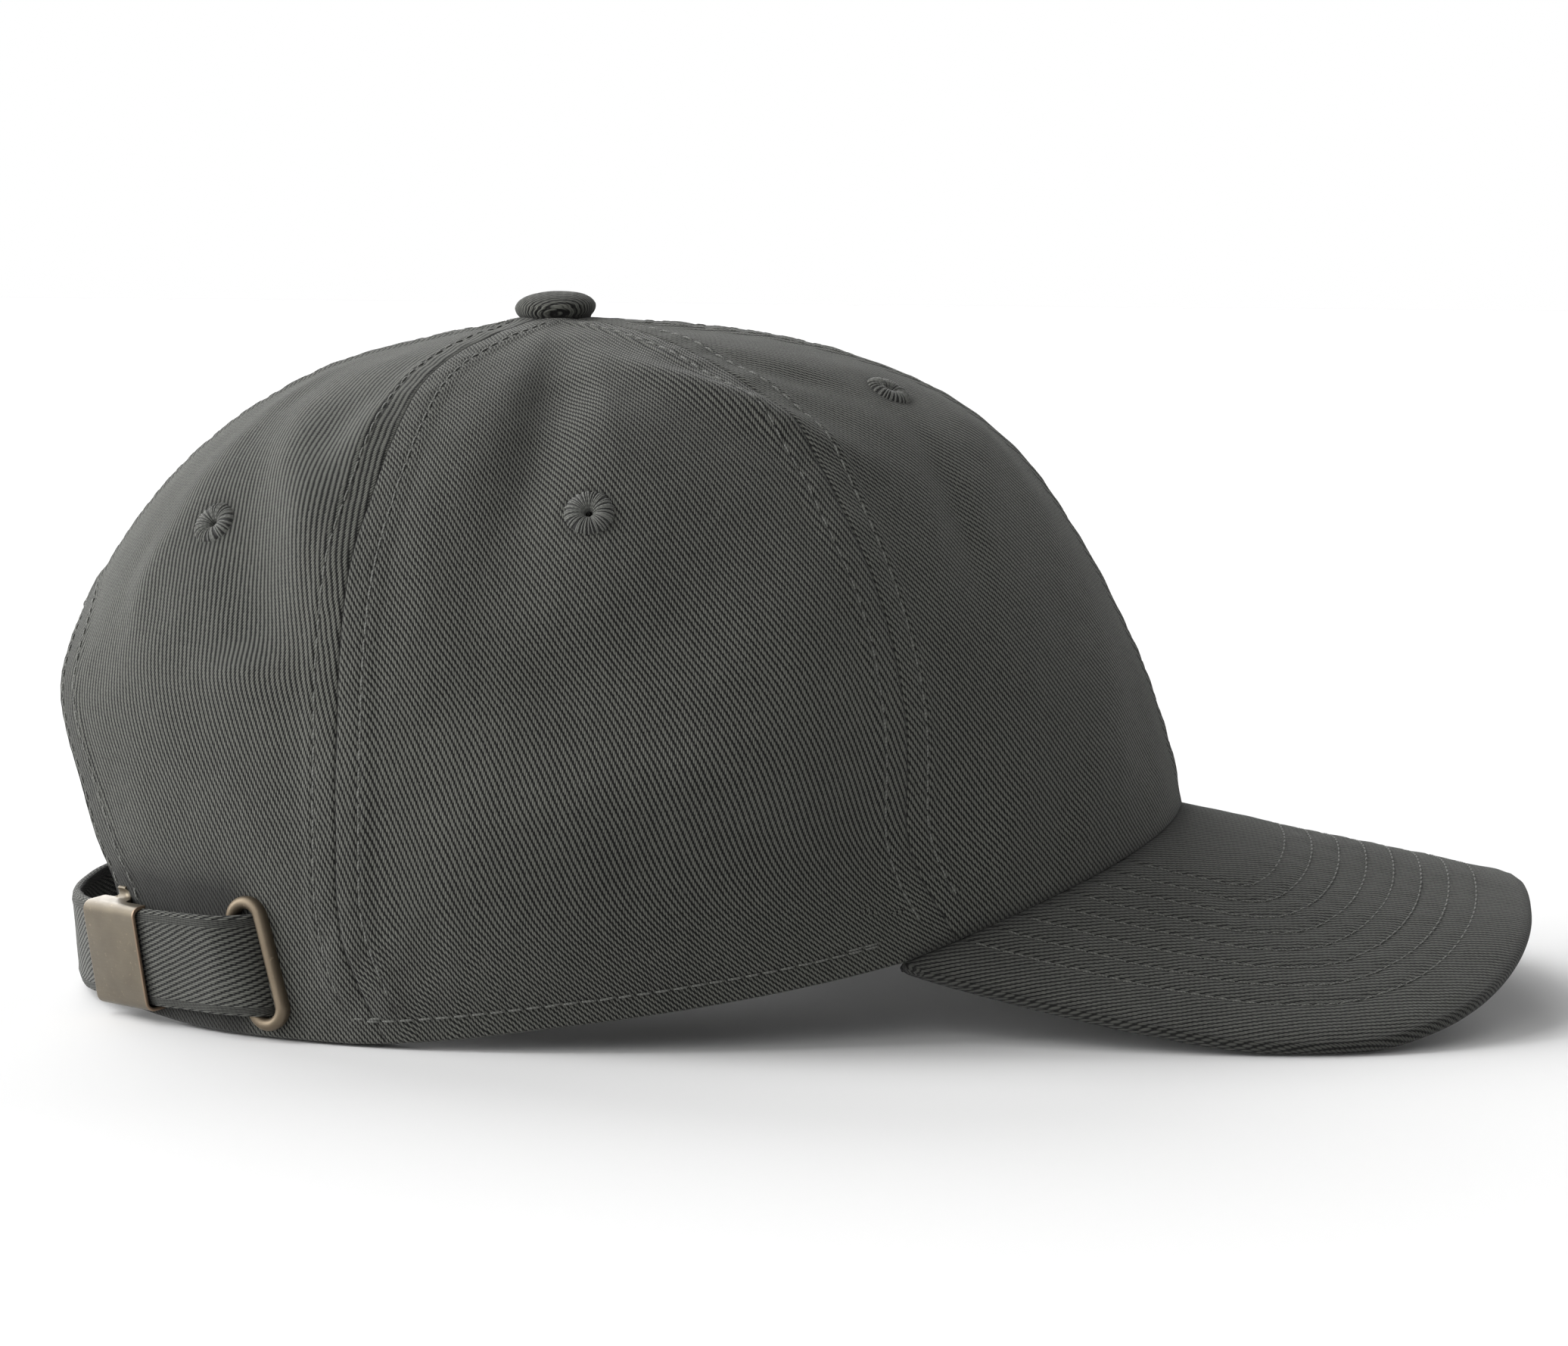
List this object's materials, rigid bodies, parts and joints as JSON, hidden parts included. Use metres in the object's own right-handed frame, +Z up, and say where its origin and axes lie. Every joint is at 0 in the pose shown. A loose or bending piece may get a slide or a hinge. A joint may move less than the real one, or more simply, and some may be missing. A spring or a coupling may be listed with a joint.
{
  "type": "dad hat",
  "caption": "Soft unstructured six-panel cloth cap with a curved peak, a covered top button, stitched eyelets and a cloth strap with a clasp buckle across an arched back opening.",
  "frame": {"origin": "middle of the bounding box in plan, at the height of the hem's lowest rim on which the hat rests", "axes": "+X towards the front of the peak, +Z up through the top button, +Y towards the wearer's left"},
  "size_m": [0.2635, 0.1616, 0.1253],
  "materials": {
    "cloth": "matte washed cotton twill",
    "thread": "matte sewing thread",
    "brass": "satin antique"
  },
  "bodies": {
    "root": {"panel_front_right": "cloth", "panel_front_left": "cloth", "panel_side_right": "cloth", "panel_side_left": "cloth", "panel_back_right": "cloth", "panel_back_left": "cloth", "eyelet_front_right": "thread", "eyelet_front_left": "thread", "eyelet_side_right": "thread", "eyelet_side_left": "thread", "eyelet_back_right": "thread", "eyelet_back_left": "thread", "peak": "cloth", "top_button": "cloth", "sweatband": "cloth", "strap": "cloth", "slot_ring": "brass", "buckle": "brass", "buckle_tab": "cloth"}
  },
  "joints": []
}
